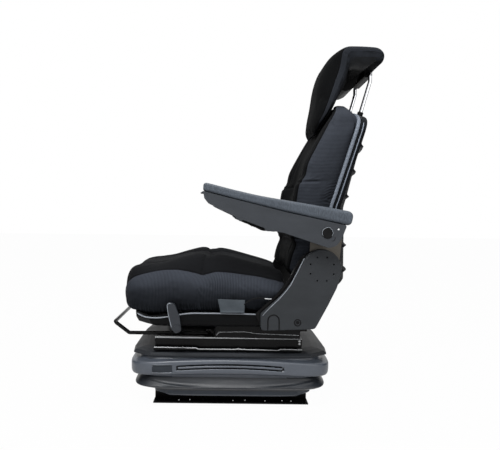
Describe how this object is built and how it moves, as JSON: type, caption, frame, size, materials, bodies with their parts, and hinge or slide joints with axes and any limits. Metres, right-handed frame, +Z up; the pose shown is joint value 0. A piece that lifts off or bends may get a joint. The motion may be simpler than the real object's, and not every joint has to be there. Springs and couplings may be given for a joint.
{
  "type": "operator seat",
  "caption": "High-backed vehicle operator seat with headrest and folding armrests on a scissor suspension inside folded bellows, standing on two mounting rails.",
  "frame": {"origin": "middle of the whole seat's bounding box in X and Y, on the plane of the mounting rails' undersides", "axes": "+Z up, -X the way the occupant faces, -Y the occupant's left side"},
  "size_m": [0.8129, 0.644, 1.0801],
  "materials": {
    "fabric": "matte",
    "shell_plastic": "satin",
    "moulded_plastic": "satin",
    "pad_foam": "satin",
    "bellows_rubber": "satin",
    "black_steel": "gloss",
    "chrome": "polished",
    "zinc_steel": "satin",
    "label": "matte"
  },
  "bodies": {
    "base": {"mounting_rail_left": "black_steel", "mounting_rail_right": "black_steel", "base_tray": "black_steel", "lower_pivot_shaft": "zinc_steel", "lower_track_left": "black_steel", "lower_track_right": "black_steel", "bellows": "bellows_rubber", "air_spring": "bellows_rubber"},
    "outer_arms": {"outer_arm_frame": "black_steel"},
    "inner_arms": {"inner_arm_frame": "black_steel"},
    "upper_roller_left": {"upper_roller_left": "moulded_plastic"},
    "upper_roller_right": {"upper_roller_right": "moulded_plastic"},
    "lower_roller_left": {"lower_roller_left": "moulded_plastic"},
    "lower_roller_right": {"lower_roller_right": "moulded_plastic"},
    "platform": {"platform_plate": "black_steel", "top_cover": "moulded_plastic", "upper_pivot_shaft": "zinc_steel", "upper_track_left": "black_steel", "upper_track_right": "black_steel", "lower_slide_left": "black_steel", "lower_slide_right": "black_steel", "slide_bolt_left": "zinc_steel", "slide_bolt_right": "zinc_steel"},
    "seat": {"upper_slide_left": "black_steel", "upper_slide_right": "black_steel", "seat_riser_left": "black_steel", "seat_riser_right": "black_steel", "seat_pan": "moulded_plastic", "seat_cushion": "fabric", "cushion_tag": "label", "lever_bolt": "black_steel", "recliner_plate_left": "black_steel", "recliner_plate_right": "black_steel", "recliner_cover_left": "moulded_plastic", "recliner_cover_right": "moulded_plastic", "cover_screw_left": "zinc_steel", "cover_screw_right": "zinc_steel"},
    "slide_bar": {"slide_bar": "black_steel"},
    "tilt_lever": {"tilt_lever": "moulded_plastic"},
    "backrest": {"backrest_cushion": "fabric", "backshell": "shell_plastic", "backrest_frame": "black_steel", "recliner_shaft": "black_steel", "backrest_plate_left": "black_steel", "backrest_plate_right": "black_steel", "headrest_sleeve_left": "moulded_plastic", "headrest_sleeve_right": "moulded_plastic", "armrest_bolt_left": "black_steel", "armrest_bolt_right": "black_steel"},
    "headrest_rods": {"headrest_rods": "chrome"},
    "headrest": {"headrest_pad": "fabric", "headrest_clamp": "moulded_plastic", "headrest_moulding": "moulded_plastic"},
    "armrest_left": {"armrest_pad_left": "pad_foam", "armrest_housing_left": "moulded_plastic"},
    "armrest_right": {"armrest_pad_right": "pad_foam", "armrest_housing_right": "moulded_plastic"},
    "adjusting_wheel_left": {"adjusting_wheel_left": "moulded_plastic"},
    "adjusting_wheel_right": {"adjusting_wheel_right": "moulded_plastic"}
  },
  "joints": [
    {"name": "suspension_lift", "type": "slide", "parent": "base", "child": "platform", "axis": [0, 0, 1], "range_m": [0, 0.08], "deforming": ["bellows", "air_spring"]},
    {"name": "outer_arm_turn", "type": "hinge", "parent": "base", "child": "outer_arms", "pos_m": [0.115, 0, 0.06], "axis": [0, 1, 0], "range_deg": [0, 13.55]},
    {"name": "inner_arm_turn", "type": "hinge", "parent": "platform", "child": "inner_arms", "pos_m": [0.115, 0, 0.125], "axis": [0, 1, 0], "range_deg": [-13.55, 0]},
    {"name": "upper_roller_turn_left", "type": "hinge", "parent": "outer_arms", "child": "upper_roller_left", "pos_m": [-0.23908, -0.134, 0.125], "axis": [0, 1, 0], "continuous": true},
    {"name": "lower_roller_turn_left", "type": "hinge", "parent": "inner_arms", "child": "lower_roller_left", "pos_m": [-0.23908, -0.134, 0.06], "axis": [0, 1, 0], "continuous": true},
    {"name": "upper_roller_turn_right", "type": "hinge", "parent": "outer_arms", "child": "upper_roller_right", "pos_m": [-0.23908, 0.134, 0.125], "axis": [0, 1, 0], "continuous": true},
    {"name": "lower_roller_turn_right", "type": "hinge", "parent": "inner_arms", "child": "lower_roller_right", "pos_m": [-0.23908, 0.134, 0.06], "axis": [0, 1, 0], "continuous": true},
    {"name": "fore_aft", "type": "slide", "parent": "platform", "child": "seat", "axis": [1, 0, 0], "range_m": [-0.06, 0.06]},
    {"name": "slide_bar_lift", "type": "hinge", "parent": "seat", "child": "slide_bar", "pos_m": [-0.12, 0, 0.2115], "axis": [0, 1, 0], "range_deg": [0, 6], "stiffness_Nm_per_rad": 4, "springref_deg": -17.19},
    {"name": "tilt_lever_turn", "type": "hinge", "parent": "seat", "child": "tilt_lever", "pos_m": [-0.207, -0.2525, 0.247], "axis": [0, 1, 0], "range_deg": [0, 20], "stiffness_Nm_per_rad": 0.4, "springref_deg": -17.19},
    {"name": "recline", "type": "hinge", "parent": "seat", "child": "backrest", "pos_m": [0.197, 0, 0.418], "axis": [0, 1, 0], "range_deg": [-10, 30]},
    {"name": "headrest_height", "type": "slide", "parent": "backrest", "child": "headrest_rods", "axis": [0.2785, 0, 0.9604], "range_m": [0, 0.06]},
    {"name": "headrest_tilt", "type": "hinge", "parent": "headrest_rods", "child": "headrest", "pos_m": [0.375, 0, 1.021], "axis": [0, 1, 0], "range_deg": [0, 15]},
    {"name": "armrest_turn_left", "type": "hinge", "parent": "backrest", "child": "armrest_left", "pos_m": [0.201, -0.29, 0.521], "axis": [0, 1, 0], "range_deg": [0, 75]},
    {"name": "adjusting_wheel_turn_left", "type": "hinge", "parent": "armrest_left", "child": "adjusting_wheel_left", "pos_m": [0.0084, -0.29, 0.56], "axis": [0, 1, 0], "continuous": true},
    {"name": "armrest_turn_right", "type": "hinge", "parent": "backrest", "child": "armrest_right", "pos_m": [0.201, 0.29, 0.521], "axis": [0, 1, 0], "range_deg": [0, 75]},
    {"name": "adjusting_wheel_turn_right", "type": "hinge", "parent": "armrest_right", "child": "adjusting_wheel_right", "pos_m": [0.0084, 0.29, 0.56], "axis": [0, 1, 0], "continuous": true}
  ],
  "couplings": [
    {"joint": "outer_arm_turn", "follows": "suspension_lift", "rad_per_m": 2.9125},
    {"joint": "inner_arm_turn", "follows": "suspension_lift", "rad_per_m": -2.9125}
  ]
}
